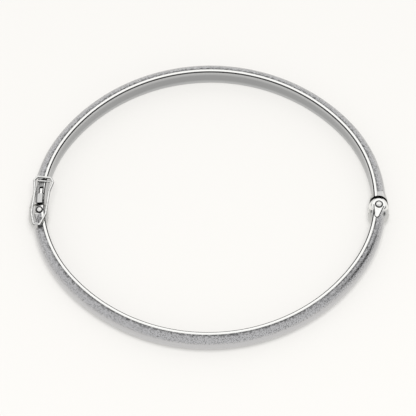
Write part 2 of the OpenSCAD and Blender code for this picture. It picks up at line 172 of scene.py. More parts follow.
class LoopSizes(bpy.types.PropertyGroup):
    """Sizes of the wire safety loop, its lug and its catch bar."""

    wire_d: length("Wire", "Diameter of the loop's wire", 0.42, 0.2, 0.8)
    loop_len: length("Loop length", "Length between the middles of its end bars", 9.7, 6, 14)
    loop_lean: FloatProperty(
        name="Lean", description="Lean of the loop from the front-to-back line",
        default=math.radians(9.3), min=0, max=0.4, subtype="ANGLE", unit="ROTATION")
    loop_tip: length("Tip", "Half width at the pivot", 0.56, 0.4, 1)
    loop_side: length("Side", "Half width of the straight sides", 1.3, 1, 2)
    loop_head: length("Head", "Half width of the head", 1.74, 1, 3)
    loop_bar: length("Bar", "Half length of the bar that closes the head", 1.23, 0.8, 2)
    loop_taper: length("Taper", "Length of the taper next to the pivot", 2.2, 1, 4)
    loop_neck: length("Neck", "Distance from the pivot to the neck", 6.9, 4, 9)
    loop_wide: length("Widest", "Distance from the pivot to the widest place", 8.9, 6, 12)
    pivot_front: length("Pivot in front", "Distance of the pivot in front of the gap", 4.06, 3, 6)
    pivot_out: length("Pivot outside", "Distance outside the middle of the band", 0.6, 0.3, 1)
    lug_w: length("Lug", "Thickness of the lug that holds the pivot", 0.5, 0.3, 0.8)
    lug_wall: length("Lug wall", "Wall of the lug round its hole", 0.16, 0.1, 0.3)
    pivot_gap: length("Pivot gap", "Running gap of the wire in the lug", 0.05, 0.02, 0.1)
    catch_up: length("Catch height", "Height of the low catch bar", 0.12, 0.05, 0.3)
    catch_half: length("Catch half", "Half length of the catch bar", 1.1, 0.6, 1.6)
    catch_at: length("Catch at", "Distance of the bar inside the loop's end bar", 0.55, 0.3, 1)
    loop_gap: length("Loop gap", "Gap between the loop and what it passes over", 0.05, 0.02, 0.2)


class FinishColours(bpy.types.PropertyGroup):
    """Colours and surfaces of the metal and of the studio."""

    satin: tint("Satin silver", "Colour of the sanded half-round face", "#C5C5C7")
    polished: tint("Polished silver", "Colour of rims and fittings", "#EFEFED")
    worn: tint("Worn silver", "Colour of the swellings and of the thumb block", "#C8C8C7")
    # inside face: painted shade makes it darker across its middle than beside its bevels, where the next
    # colour is used
    inner: tint("Inside face", "Colour of the face that lies on the wrist", "#9D9E9F")
    inner_unshaded_edge: tint("Inside edges", "Colour of that face beside its two bevels", "#BEBFC0")
    ground: tint("Ground silver", "Colour of the flat ends beside the clasp", "#B4B4B3")
    tarnish: tint("Tarnish", "Colour in scratches, pits and corners", "#626261")
    # filed tone: partly tarnish, partly painted shade in slots, gaps and grooves and a painted dark
    # reflection on the band's bevels
    filed_and_painted_shade: tint("Filed silver", "Colour of bevels, slots and the sides of the fittings", "#4C4C4C")
    oxide: tint("Oxide", "Colour of the thick oxide beside the rims", "#363637")
    grit: length("Grit", "Spacing of the sanding marks", 0.17, 0.05, 1)
    floor: tint("Floor", "Colour of the table", "#959492")


class Plan:
    """All that the user sets, with lengths in millimetres, and the places that follow from it."""

    def __init__(self, scene):
        for name in GROUPS:
            group = getattr(scene, name)
            for key, prop in group.bl_rna.properties.items():
                if prop.unit == "LENGTH":
                    setattr(self, key, getattr(group, key) / MM)
                elif key not in ("name", "rna_type"):
                    setattr(self, key, getattr(group, key))
        half_d, end_r, t = self.opening_d / 2, self.end_r, self.strip_t
        self.end_x = self.opening_w / 2 - end_r
        self.side_r = (self.end_x ** 2 + half_d ** 2 - end_r ** 2) / (2 * (half_d - end_r))
        self.side_y = self.side_r - half_d
        self.join_a = math.atan2(self.side_y, self.end_x)
        self.mid_z = self.band_w / 2
        self.mid_r = end_r + self.band_t / 2
        self.pin_y = -self.pin_front
        self.pin_x = self.band_mid(self.pin_y) - self.pin_in
        self.ear_top = self.band_w - self.ear_h
        self.gap_back = self.clasp_back + self.clasp_gap / 2
        self.gap_front = self.clasp_back - self.clasp_gap / 2
        self.tongue_x = -self.band_mid(self.clasp_back) + self.tongue_in
        self.arc = math.hypot(self.pin_x - self.tongue_x, self.clasp_back - self.pin_y)
        self.fold_y = self.gap_back + self.tongue_reach
        self.leaf_low = self.leaf_z - t / 2
        self.fold_gap = t / 3
        self.fold_r = t + self.fold_gap / 2
        self.thumb_front = self.gap_back + self.box_gap
        self.thumb_back = self.thumb_front + self.thumb_len
        self.thumb_top = self.band_w + self.thumb_up
        self.thumb_low = self.thumb_top - self.roof_t - 2 * t
        self.box_low = self.leaf_low - self.box_gap
        self.box_high = self.band_w - self.roof_t
        self.box_end = self.fold_y + self.fold_r + 2 * self.box_gap
        self.block_back = self.gap_back + self.box_len
        self.block_front = self.gap_front - self.plate_len
        self.rivet_y = self.gap_front - self.rivet_at
        self.rivet_x = self.arc_x(self.rivet_y, 0)
        self.wire_r = self.wire_d / 2
        self.loop_z = self.band_w + self.catch_up + self.loop_gap + self.wire_r
        self.pivot_y = self.gap_front - self.pivot_front
        self.pivot_x = -self.band_mid(self.pivot_y) - self.pivot_out
        self.lug_r = self.wire_r + self.pivot_gap + self.lug_wall
        self.pivot = Matrix.Translation((self.pivot_x, self.pivot_y, self.loop_z)) @ Matrix.Rotation(
            -self.loop_lean, 4, "Z")
        self.pin_place = Matrix.Translation((self.pin_x, self.pin_y, 0))
        self.rivet_place = Matrix.Translation((self.rivet_x, self.rivet_y, 0))

    def band_mid(self, y):
        """Distance from the centre to the middle of the band's end arc, at a depth of y."""
        return self.end_x + math.sqrt(self.mid_r ** 2 - y ** 2)

    def band_lean(self, y):
        """Direction from the end arc's centre to a place at a depth of y."""
        return math.asin(y / self.mid_r)

    def arc_x(self, y, out):
        """Place across, at a depth of y, on the arc that the tongue swings along."""
        return self.pin_x - math.sqrt((self.arc + out) ** 2 - (y - self.pin_y) ** 2)


# Solids


def even(start, end, parts):
    """Places from start to end, evenly apart."""
    return [start + (end - start) * i / parts for i in range(parts + 1)]


def shown(name, data):
    """An object with this data, put in the scene."""
    obj = bpy.data.objects.new(name, data)
    bpy.context.scene.collection.objects.link(obj)
    return obj


def face_outwards(mesh):
    """Turns the faces of a closed mesh outwards."""
    form = bmesh.new()
    form.from_mesh(mesh)
    bmesh.ops.recalc_face_normals(form, faces=form.faces)
    form.to_mesh(mesh)
    form.free()


def give_finishes(mesh, finishes):
    """Gives a mesh all the metal finishes, and each of its faces its own."""
    mesh.materials.clear()
    for key in FINISHES:
        mesh.materials.append(MATERIALS[key])
    mesh.polygons.foreach_set("material_index", finishes)


def solid(name, points, faces, finish):
    """A closed mesh object with one finish, its faces turned outwards."""
    mesh = bpy.data.meshes.new(name)
    mesh.from_pydata([tuple(p) for p in points], [], faces)
    face_outwards(mesh)
    give_finishes(mesh, [finish] * len(mesh.polygons))
    return shown(name, mesh)


def turned(name, profile, finish=POLISHED, place=None, facets=ROUND):
    """Solid of revolution about Z of a closed (radius, height) profile."""
    points, rings = [], []
    for radius, height in profile:
        around = facets if radius > ON_AXIS else 1
        rings.append(range(len(points), len(points) + around))
        for i in range(around):
            a = 2 * math.pi * i / facets
            points.append(Vector((radius * math.cos(a), radius * math.sin(a), height)))
    faces = []
    for k, low in enumerate(rings):
        high = rings[(k + 1) % len(rings)]
        if len(low) == len(high) == 1:
            continue
        for i in range(facets):
            j = (i + 1) % facets
            if len(low) == 1:
                faces.append((low[0], high[j], high[i]))
            elif len(high) == 1:
                faces.append((low[i], low[j], high[0]))
            else:
                faces.append((low[i], low[j], high[j], high[i]))
    if place is not None:
        points = [place @ p for p in points]
    return solid(name, points, faces, finish)


def rod(name, radius, low, high, finish, place, facets=ROD):
    """Plain round bar, or the cutter of a round hole."""
    return turned(name, [(0, low), (radius, low), (radius, high), (0, high)], finish, place, facets)


def slab(name, outline, low, high, finish=POLISHED, place=None):
    """An outline in plan, raised from one height to another."""
    n = len(outline)
    points = [Vector((x, y, low)) for x, y in outline] + [Vector((x, y, high)) for x, y in outline]
    if place is not None:
        points = [place @ p for p in points]
    faces = [tuple(range(n)), tuple(range(2 * n - 1, n - 1, -1))]
    faces += [(i, (i + 1) % n, n + (i + 1) % n, n + i) for i in range(n)]
    return solid(name, points, faces, finish)


def refinish(obj, finish, chosen):
    """Gives another finish to the faces of obj that chosen picks."""
    for face in obj.data.polygons:
        if chosen(face):
            face.material_index = finish
    return obj


def combine(obj, operation, *others):
    """obj with each of the others joined to it, cut from it or kept of it. They are used up."""
    for other in others:
        modifier = obj.modifiers.new("combine", "BOOLEAN")
        modifier.operation = operation
        modifier.solver = "MANIFOLD"
        modifier.object = other
        bake(obj)
        bpy.data.objects.remove(other)
        if not obj.data.polygons:
            raise RuntimeError(f"{obj.name}: nothing is left after {operation}")
    return obj


def join(obj, *others):
    return combine(obj, "UNION", *others)


def cut(obj, *others):
    return combine(obj, "DIFFERENCE", *others)


def keep(obj, other):
    return combine(obj, "INTERSECT", other)


def bake(obj):
    """Turns what the modifiers make into a plain mesh object."""
    depsgraph = bpy.context.evaluated_depsgraph_get()
    made = bpy.data.meshes.new_from_object(obj.evaluated_get(depsgraph))
    obj.modifiers.clear()
    if obj.type == "MESH":
        old, obj.data = obj.data, made
        bpy.data.meshes.remove(old)
        return obj
    mesh_obj = shown(obj.name, made)
    bpy.data.objects.remove(obj)
    return mesh_obj


def finished(obj, name, body, slot, *nodes, sharp=28):
    """Brings a piece to metres, shades it and lets it ride on its body in place of its nodes."""
    obj.name = obj.data.name = name
    obj.data.transform(Matrix.Scale(MM, 4))
    obj.data.polygons.foreach_set("use_smooth", [True] * len(obj.data.polygons))
    obj.data.set_sharp_from_angle(angle=math.radians(sharp))
    obj.data.update()
    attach(obj, body)
    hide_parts(*nodes)
    return obj


# Materials


def add(tree, kind, settings=None, links=None):
    """Adds a node, with its settings and its input values or links."""
    node = tree.nodes.new(kind)
    for key, value in (settings or {}).items():
        setattr(node, key, value)
    for key, value in (links or {}).items():
        if isinstance(value, bpy.types.Node):
            value = value.outputs[0]
        if isinstance(value, bpy.types.NodeSocket):
            tree.links.new(value, node.inputs[key])
        else:
            node.inputs[key].default_value = value
    return node


def new_material(name):
    """A material with an empty tree, and the node that gives the places on the piece."""
    material = bpy.data.materials.new(name)
    material.use_nodes = True
    tree = material.node_tree
    tree.nodes.clear()
    return material, tree, add(tree, "ShaderNodeTexCoord")


def bare_metal(tree, colour, roughness, relief, strength, depth):
    """Ends a material in metal that is raised by its relief, whose depth is in millimetres."""
    bump = add(tree, "ShaderNodeBump", None, {
        "Strength": strength, "Distance": depth * MM, "Height": relief})
    shader = add(tree, "ShaderNodeBsdfPrincipled", None, {
        "Base Color": colour, "Metallic": 1.0, "Roughness": roughness, "Normal": bump})
    add(tree, "ShaderNodeOutputMaterial", None, {"Surface": shader})


def from_middle(tree, place, middle):
    """How far a place lies above or below the middle of the band's width."""
    height = add(tree, "ShaderNodeSeparateXYZ", None, {0: place}).outputs["Z"]
    offset = add(tree, "ShaderNodeMath", {"operation": "SUBTRACT"}, {0: height, 1: middle})
    return add(tree, "ShaderNodeMath", {"operation": "ABSOLUTE"}, {0: offset})


def sanded_silver(name, colours, colour, roughness, middle=None):
    """Sterling silver, sanded with coarse grit: soft grey gloss with pits and dark specks.

    Such grit leaves marks about 0.04 mm apart, and they are drawn about 0.17 mm apart, so that they
    show. With the height of the band's middle, the crown is rubbed smooth and the step beside the
    rims holds dirt, with black dots in places.
    """
    material, tree, coords = new_material(name)
    place, grit = coords.outputs["Object"], colours.grit
    tarnish, colour = (*colours.tarnish, 1), (*colour, 1)
    grain = add(tree, "ShaderNodeTexNoise", None, {
        "Vector": place, "Scale": 1 / grit, "Detail": 3.0, "Roughness": 0.6})
    patch = add(tree, "ShaderNodeTexNoise", None, {
        "Vector": place, "Scale": 0.3 / grit, "Detail": 2.0})
    pits = add(tree, "ShaderNodeTexVoronoi", None, {"Vector": place, "Scale": 0.55 / grit})
    pits = add(tree, "ShaderNodeMapRange", SMOOTH, {"Value": pits, "From Max": 0.42})
    relief = add(tree, "ShaderNodeMath", {"operation": "MULTIPLY_ADD"}, {0: pits, 1: 0.45, 2: grain})
    if middle is None:
        strength = 0.5
        clean = add(tree, "ShaderNodeMapRange", None, {
            "Value": grain, "From Min": 0.32, "From Max": 0.52})
        base = add(tree, "ShaderNodeMix", {"data_type": "RGBA"}, {
            "Factor": clean, "A": tarnish, "B": colour})
    else:
        away = from_middle(tree, place, middle)
        sanded = add(tree, "ShaderNodeMapRange", SMOOTH, {
            "Value": away, "From Min": 0.34 * middle, "From Max": 0.72 * middle})
        rubbed = add(tree, "ShaderNodeMath", {"operation": "SUBTRACT"}, {0: 1.0, 1: sanded})
        strength = add(tree, "ShaderNodeMath", {"operation": "MULTIPLY_ADD"}, {
            0: sanded, 1: 0.5, 2: 0.06}).outputs[0]
        dirt = add(tree, "ShaderNodeMapRange", SMOOTH, {
            "Value": away, "From Min": 0.955 * middle, "From Max": 0.985 * middle, "To Max": 0.12})
        speck = add(tree, "ShaderNodeMath", {"operation": "SUBTRACT"}, {0: grain, 1: dirt})
        speck = add(tree, "ShaderNodeMapRange", None, {
            "Value": speck, "From Min": 0.32, "From Max": 0.52})
        clean = add(tree, "ShaderNodeMath", {"operation": "MAXIMUM"}, {0: speck, 1: rubbed})
        mixed = add(tree, "ShaderNodeMix", {"data_type": "RGBA"}, {
            "Factor": clean, "A": tarnish, "B": colour})
        black = 1.0
        for value, low, high, way in ((patch, 0.48, 0.58, None), (grain, 0.5, 0.56, None),
                                      (away, 0.89 * middle, 0.95 * middle, SMOOTH)):
            part = add(tree, "ShaderNodeMapRange", way, {
                "Value": value, "From Min": low, "From Max": high})
            black = add(tree, "ShaderNodeMath", {"operation": "MULTIPLY"}, {0: black, 1: part})
        base = add(tree, "ShaderNodeMix", {"data_type": "RGBA"}, {
            "Factor": black, "A": mixed.outputs["Result"], "B": (*colours.oxide, 1)})
    rough = add(tree, "ShaderNodeMapRange", None, {
        "Value": patch, "From Min": 0.3, "From Max": 0.7,
        "To Min": roughness[0], "To Max": roughness[1]})
    bare_metal(tree, base.outputs["Result"], rough, relief, strength, 0.05)
    return material


def polished_silver(name, colour, roughness, edge=None, middle=None):
    """Sterling silver, buffed: near mirror, with fine hairline wear that breaks the reflections.

    The wheel leaves ripples about 0.9 mm long. Hairlines are about 0.01 mm wide, and their wear is
    drawn in patches of 0.25 mm, so that it shows. With the height of the band's middle, the face is
    given painted shade: darker across its middle and lighter towards its edges.
    """
    material, tree, coords = new_material(name)
    place, base, wheel, patch = coords.outputs["Object"], (*colour, 1), 0.9 * MM, 0.25 * MM
    ripple = add(tree, "ShaderNodeTexNoise", None, {
        "Vector": place, "Scale": 1 / wheel, "Detail": 2.0})
    wear = add(tree, "ShaderNodeTexNoise", None, {
        "Vector": place, "Scale": 1 / patch, "Detail": 4.0})
    rough = add(tree, "ShaderNodeMapRange", None, {
        "Value": wear, "From Min": 0.35, "From Max": 0.7,
        "To Min": roughness[0], "To Max": roughness[1]})
    if middle is not None:
        # painted shade: the face goes from the dark middle colour to the lighter edge colour towards both
        # edges
        out_of_painted_shade = add(tree, "ShaderNodeMapRange", SMOOTH, {
            "Value": from_middle(tree, place, middle), "From Min": 0.3 * middle,
            "From Max": 0.8 * middle})
        base = add(tree, "ShaderNodeMix", {"data_type": "RGBA"}, {
            "Factor": out_of_painted_shade, "A": base, "B": (*edge, 1)}).outputs["Result"]
    bare_metal(tree, base, rough, ripple, 0.25, 0.02)
    return material


def fitted_silver(colours):
    """Sterling silver fittings with painted shade on their sides: faces turned sideways get the dark
    filed colour.

    The buff leaves hollows about 0.45 mm wide, which stay darker, and ripples about 0.6 mm long.
    """
    material, tree, coords = new_material("buffed_oxidised_sterling_silver")
    place, hollow_w, wheel = coords.outputs["Object"], 0.45 * MM, 0.6 * MM
    # painted shade: the more a face turns sideways, the more it takes the dark filed colour instead of
    # the polished one
    facing = add(tree, "ShaderNodeSeparateXYZ", None, {0: coords.outputs["Normal"]}).outputs["Z"]
    facing = add(tree, "ShaderNodeMath", {"operation": "ABSOLUTE"}, {0: facing})
    painted_light_by_facing = add(tree, "ShaderNodeMapRange", SMOOTH, {
        "Value": facing, "From Min": 0.5, "From Max": 0.82})
    hollow = add(tree, "ShaderNodeTexNoise", None, {
        "Vector": place, "Scale": 1 / hollow_w, "Detail": 3.0})
    reach_and_painted_light = add(tree, "ShaderNodeMapRange", None, {
        "Value": hollow, "From Min": 0.36, "From Max": 0.5, "To Min": 0.75})
    reach_and_painted_light = add(tree, "ShaderNodeMath", {"operation": "MULTIPLY"}, {0: painted_light_by_facing, 1: reach_and_painted_light})
    base = add(tree, "ShaderNodeMix", {"data_type": "RGBA"}, {
        "Factor": reach_and_painted_light, "A": (*colours.filed_and_painted_shade, 1), "B": (*colours.polished, 1)})
    ripple = add(tree, "ShaderNodeTexNoise", None, {
        "Vector": place, "Scale": 1 / wheel, "Detail": 2.0})
    bare_metal(tree, base.outputs["Result"], 0.16, ripple, 0.3, 0.02)
    return material


def filed_silver(colours):
    """Sterling silver as sawn and filed in slots, bores and bevels: dull and dark, partly with tarnish
    and partly with painted shade in the slots, gaps and grooves and a painted dark reflection on the
    bevels.
    """
    material, tree, coords = new_material("filed_sterling_silver")
    tooth = 0.2 * MM  # spacing of a fine file's teeth
    marks = add(tree, "ShaderNodeTexNoise", None, {
        "Vector": coords.outputs["Object"], "Scale": 1 / tooth, "Detail": 3.0})
    bare_metal(tree, (*colours.filed_and_painted_shade, 1), 0.35, marks, 0.3, 0.03)
    return material


MATERIALS = {}  # the metal finishes by their short names, made before the pieces


# Band


def closed_line(name, points, radii=None):
    """A closed curve object through the points. Its point radii say how wide each bend is."""
    curve = bpy.data.curves.new(name, "CURVE")
    curve.dimensions = "3D"
    spline = curve.splines.new("POLY")
    spline.points.add(len(points) - 1)
    for i, p in enumerate(points):
        spline.points[i].co = (*p, 1)
        spline.points[i].radius = radii[i] if radii else 1
    spline.use_cyclic_u = True
    return shown(name, curve)


def oval_line(plan):
    """Closed curve of four arcs along the inside face of the oval, at the height of the lower rim."""
    a = plan.join_a
    points = []
    for (cx, cy), radius, start, end in (
            ((plan.end_x, 0), plan.end_r, -a, a),
            ((0, -plan.side_y), plan.side_r, a, math.pi - a),
            ((-plan.end_x, 0), plan.end_r, math.pi - a, math.pi + a),
            ((0, plan.side_y), plan.side_r, math.pi + a, 2 * math.pi - a)):
        points += [(cx + radius * math.cos(t), cy + radius * math.sin(t), 0)
                   for t in even(start, end, plan.stations)[:-1]]
    return closed_line("oval_line", points)


def new_tree(name, inputs):
    """An empty Geometry Nodes tree with named inputs, and its two end nodes."""
    tree = bpy.data.node_groups.new(name, "GeometryNodeTree")
    for title, kind in [("Geometry", "Geometry"), *inputs.items()]:
        tree.interface.new_socket(title, in_out="INPUT", socket_type="NodeSocket" + kind)
    tree.interface.new_socket("Geometry", in_out="OUTPUT", socket_type="NodeSocketGeometry")
    return tree, tree.nodes.new("NodeGroupInput"), tree.nodes.new("NodeGroupOutput")


def grow(obj, tree, values):
    """Runs a tree on obj with these input values and bakes what it makes."""
    modifier = obj.modifiers.new(tree.name, "NODES")
    modifier.node_group = tree
    for item in tree.interface.items_tree:
        if item.in_out == "INPUT" and item.name in values:
            modifier[item.identifier] = values[item.name]
    made = bake(obj)
    bpy.data.node_groups.remove(tree)
    return made


def band_tree():
    """Half-round band along a closed line: satin arc, polished rims, bare inside, filed bevels."""
    tree, given, result = new_tree("half_round_band", {
        "Width": "Float", "Thickness": "Float", "Rim": "Float", "Bevel": "Float",
        "Crown steps": "Int", "Satin": "Material", "Polished": "Material", "Inner": "Material",
        "Filed": "Material"})
    width, rim, bevel = given.outputs["Width"], given.outputs["Rim"], given.outputs["Bevel"]

    def corner(x, y):
        # a profile's Y runs down from the line, and the band stands above it
        down = add(tree, "ShaderNodeMath", {"operation": "SUBTRACT"}, {0: 0.0, 1: y})
        return add(tree, "ShaderNodeCombineXYZ", None, {"X": x, "Y": down})

    path = add(tree, "GeometryNodeSetCurveNormal", {"mode": "Z_UP"}, {
        "Curve": given.outputs["Geometry"]})
    half = add(tree, "ShaderNodeMath", {"operation": "MULTIPLY"}, {0: width, 1: 0.5})
    upper = add(tree, "ShaderNodeMath", {"operation": "SUBTRACT"}, {0: width, 1: bevel})
    steps = add(tree, "ShaderNodeMath", {"operation": "ADD"}, {0: given.outputs["Crown steps"], 1: 1.0})
    crown = add(tree, "GeometryNodeCurveArc", {"mode": "POINTS"}, {
        "Resolution": steps, "Start": corner(rim, 0.0),
        "Middle": corner(given.outputs["Thickness"], half), "End": corner(rim, width)})
    inside = add(tree, "GeometryNodeCurvePrimitiveLine", None, {
        "Start": corner(0.0, upper), "End": corner(0.0, bevel)})
    rims, bevels, whole = (add(tree, "GeometryNodeJoinGeometry") for _ in range(3))
    for start, end, joined in (
            (corner(rim, width), corner(bevel, width), rims),
            (corner(bevel, width), corner(0.0, upper), bevels),
            (corner(0.0, bevel), corner(bevel, 0.0), bevels),
            (corner(bevel, 0.0), corner(rim, 0.0), rims)):
        line = add(tree, "GeometryNodeCurvePrimitiveLine", None, {"Start": start, "End": end})
        tree.links.new(line.outputs[0], joined.inputs[0])
    # the bevels take the dark filed finish, a painted dark reflection along the inside edges
    for profile, metal in ((crown, "Satin"), (rims, "Polished"), (inside, "Inner"), (bevels, "Filed")):
        strip = add(tree, "GeometryNodeCurveToMesh", None, {"Curve": path, "Profile Curve": profile})
        painted = add(tree, "GeometryNodeSetMaterial", None, {
            "Geometry": strip, "Material": given.outputs[metal]})
        tree.links.new(painted.outputs[0], whole.inputs[0])
    welded = add(tree, "GeometryNodeMergeByDistance", None, {"Geometry": whole, "Distance": WELD})
    real = add(tree, "GeometryNodeRealizeInstances", None, {"Geometry": welded})
    tree.links.new(real.outputs[0], result.inputs[0])
    return tree


def band_ring(plan):
    """The whole oval band as one closed ring."""
    ring = grow(oval_line(plan), band_tree(), {
        "Width": plan.band_w, "Thickness": plan.band_t, "Rim": plan.rim_w, "Bevel": plan.rim_bevel,
        "Crown steps": plan.crown_steps, "Satin": MATERIALS["satin"],
        "Polished": MATERIALS["polished"], "Inner": MATERIALS["inner"],
        "Filed": MATERIALS["inside"]})
    mesh = ring.data
    metals = [MATERIALS[key] for key in FINISHES]
    slots = [metals.index(metal) if metal in metals else POLISHED for metal in mesh.materials]
    give_finishes(mesh, [slots[face.material_index] for face in mesh.polygons])
    face_outwards(mesh)
    if min(v.co.x for v in mesh.vertices) > -plan.opening_w / 2 - plan.rim_w:
        raise RuntimeError("the band's profile faces inwards")
    return ring


# Shapes that both halves share


def end_block(plan, side, from_y, to_y, top=POLISHED):
    """Square end of the band on one side, between two depths, with its long edges eased."""
    ease, sink, parts = 0.12, 0.01, 24
    inner = plan.end_r + plan.block_in
    outer = inner + plan.block_t
    points = []
    for height, inset in ((sink, ease), (sink + ease, 0), (plan.band_w - sink - ease, 0),
                          (plan.band_w - sink, ease)):
        turn = even(plan.band_lean(from_y + inset), plan.band_lean(to_y - inset), parts)
        outline = [(outer - inset, t) for t in turn] + [(inner + inset, t) for t in reversed(turn)]
        points += [Vector((side * (plan.end_x + r * math.cos(t)), r * math.sin(t), height))
                   for r, t in outline]
    n = len(points) // 4
    faces = [tuple(range(n)), tuple(range(4 * n - 1, 3 * n - 1, -1))]
    for k in range(3):
        faces += [(k * n + i, k * n + (i + 1) % n, (k + 1) * n + (i + 1) % n, (k + 1) * n + i)
                  for i in range(n)]
    return refinish(solid("end_block", points, faces, POLISHED), top,
                    lambda face: abs(face.normal.z) > 0.99)


def olive(plan, side, widest_y, inset, radius, back, front):
    """Olive-shaped swelling, laid along the band and tangent to it at half its length."""
    drop = radius - plan.band_t / 3
    profile = [(0, -front)]
    steps = even(0, 1, 36)
    for reach, sign, parts in ((front, -1, steps[::-1]), (back, 1, steps[1:])):
        arc = (reach ** 2 + drop ** 2) / (2 * drop)
        profile += [(radius - arc + math.sqrt(arc ** 2 - (reach * part) ** 2), sign * reach * part)
                    for part in parts]
    profile.append((0, back))
    lean = plan.band_lean(widest_y + (back - front) / 2)
    place = Matrix.Translation((plan.end_x, 0, plan.mid_z)) @ Matrix.Rotation(lean, 4, "Z")
    place @= Matrix.Translation((plan.mid_r - inset, -(back - front) / 2, 0))
    place @= Matrix.Rotation(-math.pi / 2, 4, "X")
    if side < 0:
        place = Matrix.Scale(-1, 4, (1, 0, 0)) @ place
    return turned("olive", profile, WORN, place, FINE)


def half_space(plan, sign, clasp_y, hinge_y):
    """The space of one half: what lies behind (1) or before (-1) these depths at each end."""
    far = plan.opening_w
    outline = [(-far, clasp_y), (0, clasp_y), (0, hinge_y), (far, hinge_y), (far, sign * far),
               (-far, sign * far)]
    return slab("half_space", outline, -PAST, plan.band_w + PAST)


def knuckle(plan, more, low, high, finish=POLISHED, ease=0):
    """Disc round the hinge pin that swells halfway up, its edge at a rim eased."""
    base, swell = plan.knuckle_r, plan.knuckle_swell
    swell_r = (plan.mid_z ** 2 + swell ** 2) / (2 * swell)
    centre = base + swell - swell_r + more
    profile = [(0, low)]
    for turn in even(0, math.pi, 32):
        z = low + (high - low) * (1 - math.cos(turn)) / 2
        radius = centre + math.sqrt(max(swell_r ** 2 - (z - plan.mid_z) ** 2, 0))
        near = ease - min(z, plan.band_w - z)
        if near > 0:
            radius -= ease - math.sqrt(max(ease ** 2 - near ** 2, 0))
        profile.append((radius, z))
    profile.append((0, high))
    return turned("knuckle", profile, finish, plan.pin_place, FINE)


def bore(place, radius, low, high):
    return rod("bore", radius, low, high, INSIDE, place, HOLE)


def head_ring(plan, place, head_r):
    """Shallow ring that the riveting hammer leaves round a head."""
    wide, deep = 0.14, 0.08
    return bore(place, head_r + wide, plan.band_w - deep, plan.band_w + PAST)


def arc_stretch(plan, inner, outer, from_y, to_y, low, high, finish=INSIDE):
    """Part of the ring that the tongue swings through, between two depths."""
    depths = even(from_y, to_y, 16)
    outline = [(plan.arc_x(y, outer), y) for y in depths]
    outline += [(plan.arc_x(y, inner), y) for y in reversed(depths)]
    return slab("arc_stretch", outline, low, high, finish)


def clasp_swelling(plan):
    return olive(plan, -1, plan.gap_front - plan.clasp_swell_at, 0,
                 plan.mid_z - plan.clasp_swell_under, plan.clasp_swell_back, plan.clasp_swell_front)


def hinge_swelling(plan):
    return olive(plan, 1, plan.pin_y - plan.hinge_swell_at, plan.hinge_swell_in,
                 plan.mid_z - plan.hinge_swell_under, plan.hinge_swell_back, plan.hinge_swell_front)


# Halves


def catch_groove(plan, part, width):
    """Groove across the box, at a part of the way from the loop's end bar to the catch bar. Its dark
    filed finish is painted shadow beside the bars.
    """
    deep = 0.14
    middle = plan.loop_len - part * plan.catch_at
    half, back, front = plan.catch_half, middle + width / 2, middle - width / 2
    outline = [(-half, front), (half, front), (half, back), (-half, back)]
    flat = Matrix.Translation((0, 0, -plan.loop_z))
    return slab("catch_groove", outline, plan.band_w - deep, plan.band_w + PAST, INSIDE,
                plan.pivot @ flat)


def catch_bar(plan):
    """Low round bar across the box, which the loop's head closes behind."""
    radius = plan.catch_up + plan.box_gap / 2
    place = Matrix.Translation((plan.pivot_x, plan.pivot_y, plan.band_w + plan.catch_up - radius))
    place @= Matrix.Rotation(-plan.loop_lean, 4, "Z")
    place @= Matrix.Translation((0, plan.loop_len - plan.catch_at, 0))
    place @= Matrix.Rotation(math.pi / 2, 4, "Y")
    return rod("catch_bar", radius, -plan.catch_half, plan.catch_half, FITTED, place)


def make_back_half(plan):
    top, gap = plan.band_w, plan.knuckle_gap
    half = band_ring(plan)
    join(half,
         end_block(plan, -1, plan.gap_back, plan.block_back, GROUND),
         end_block(plan, 1, plan.pin_y, plan.pin_y + plan.knuckle_r + plan.end_plate, WORN),
         clasp_swelling(plan), hinge_swelling(plan))
    keep(half, half_space(plan, 1, plan.gap_back, plan.pin_y))
    cut(half, knuckle(plan, plan.hinge_gap, -PAST, plan.ear_h + gap, INSIDE),
        knuckle(plan, plan.hinge_gap, plan.ear_top - gap, top + PAST, INSIDE))
    join(half, knuckle(plan, 0, plan.ear_h + gap, plan.ear_top - gap))
    # grooves on both sides of the catch bar, dark as painted shadow beside the bars: part of the way to
    # it, and width
    for part, width in ((0.5, 0.34), (1.6, 0.16)):
        cut(half, catch_groove(plan, part, width))
    join(half, catch_bar(plan))
    cut(half, bore(plan.pin_place, plan.pin_r + plan.pin_fit, -PAST, top + PAST))
    # chamber of the tongue, thumb slot, neck slot and the recess behind it
    side = plan.strip_w / 2 + plan.box_gap
    roof, more, recess = plan.box_high - plan.strip_t, plan.slot_in, 0.35
    neck_side = plan.neck_out + plan.neck_w + plan.box_gap - plan.strip_w / 2
    neck_end = plan.fold_y - plan.fold_r
    cut(half,
        arc_stretch(plan, -side, side, plan.gap_back - PAST, plan.box_end, plan.box_low,
                    plan.box_high, GROUND),
        arc_stretch(plan, -side - more, side, plan.gap_back - PAST,
                    plan.thumb_back + plan.slot_end_gap, roof, top + PAST),
        arc_stretch(plan, -side, neck_side, plan.gap_back, neck_end, roof, top + PAST),
        arc_stretch(plan, -side, side - 2 * more, neck_end, plan.box_end - plan.box_gap,
                    top - recess, top + PAST, GROUND))
    return finished(half, "back_half_dressed", "back", "satin_silver", "back_half")


def ear_plate(plan, low, high, more=0, finish=FITTED):
    """Flat plate of the ears with its tail along the band."""
    tail_r, base = plan.ear_tail_r + more, plan.tail_root + more
    reach = plan.ear_tail + more - tail_r
    lean = plan.band_lean(plan.pin_y - reach / 2) - plan.tail_lean
    side_a = math.asin((base - tail_r) / reach)
    across, down = base * math.cos(side_a), -base * math.sin(side_a)
    outline = [(0, 0), (across, down)]
    outline += [(tail_r * math.cos(a), -reach + tail_r * math.sin(a))
                for a in even(-side_a, side_a - math.pi, 24)]
    outline.append((-across, down))
    outline.reverse()
    place = plan.pin_place @ Matrix.Rotation(lean, 4, "Z")
    return slab("ear_plate", outline, low, high, finish, place)


